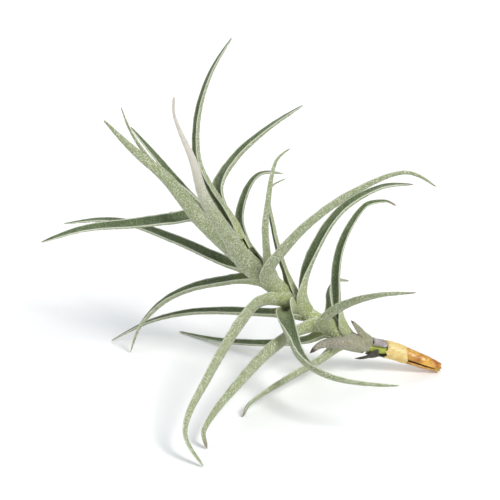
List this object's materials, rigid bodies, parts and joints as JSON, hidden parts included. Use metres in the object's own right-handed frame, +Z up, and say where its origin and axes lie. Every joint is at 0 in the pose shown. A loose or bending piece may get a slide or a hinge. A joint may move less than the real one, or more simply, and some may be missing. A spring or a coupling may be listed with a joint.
{
  "type": "air plant",
  "caption": "Air plant with a bent stem and slender, arching, silver-green gutter-shaped leaves, lying as picked on its stem end and leaf tips.",
  "frame": {"origin": "middle of the footprint, on the surface that the plant lies on", "axes": "+X towards the dry cut end of the stem, +Z up from the surface, -Y towards the side with the longest propping leaves"},
  "size_m": [0.1616, 0.1265, 0.1371],
  "materials": {
    "live_stem": "fresh green stem skin, satin",
    "dry_husk": "dried amber husk, slightly glossy, lengthwise fibres",
    "yellow_sheath": "dry straw-coloured leaf sheath, fine ribs",
    "grey_sheath": "papery grey sheath remnant, matte",
    "dead_leaf": "dead leaf point, dark and matte",
    "stub_leaf": "old grey-green leaf under dense silver scales, dry brown end",
    "silver_leaf": "fleshy green leaf under fuzzy silver scales, matte"
  },
  "bodies": {
    "root": {"stem": "live_stem", "dry_husk": "dry_husk", "yellow_sheath": "yellow_sheath", "grey_sheath": "grey_sheath", "dead_point": "dead_leaf", "stub_1": "stub_leaf", "stub_2": "stub_leaf", "leaf_01": "silver_leaf", "leaf_02": "silver_leaf", "leaf_03": "silver_leaf", "leaf_04": "silver_leaf", "leaf_05": "silver_leaf", "leaf_06": "silver_leaf", "leaf_07": "silver_leaf", "leaf_08": "silver_leaf", "leaf_09": "silver_leaf", "leaf_10": "silver_leaf", "leaf_11": "silver_leaf", "leaf_12": "silver_leaf", "leaf_13": "silver_leaf", "leaf_14": "silver_leaf", "leaf_15": "silver_leaf", "leaf_16": "silver_leaf", "leaf_17": "silver_leaf", "leaf_18": "silver_leaf", "leaf_19": "silver_leaf", "leaf_20": "silver_leaf", "leaf_21": "silver_leaf", "leaf_22": "silver_leaf", "leaf_23": "silver_leaf", "leaf_24": "silver_leaf"}
  },
  "joints": []
}
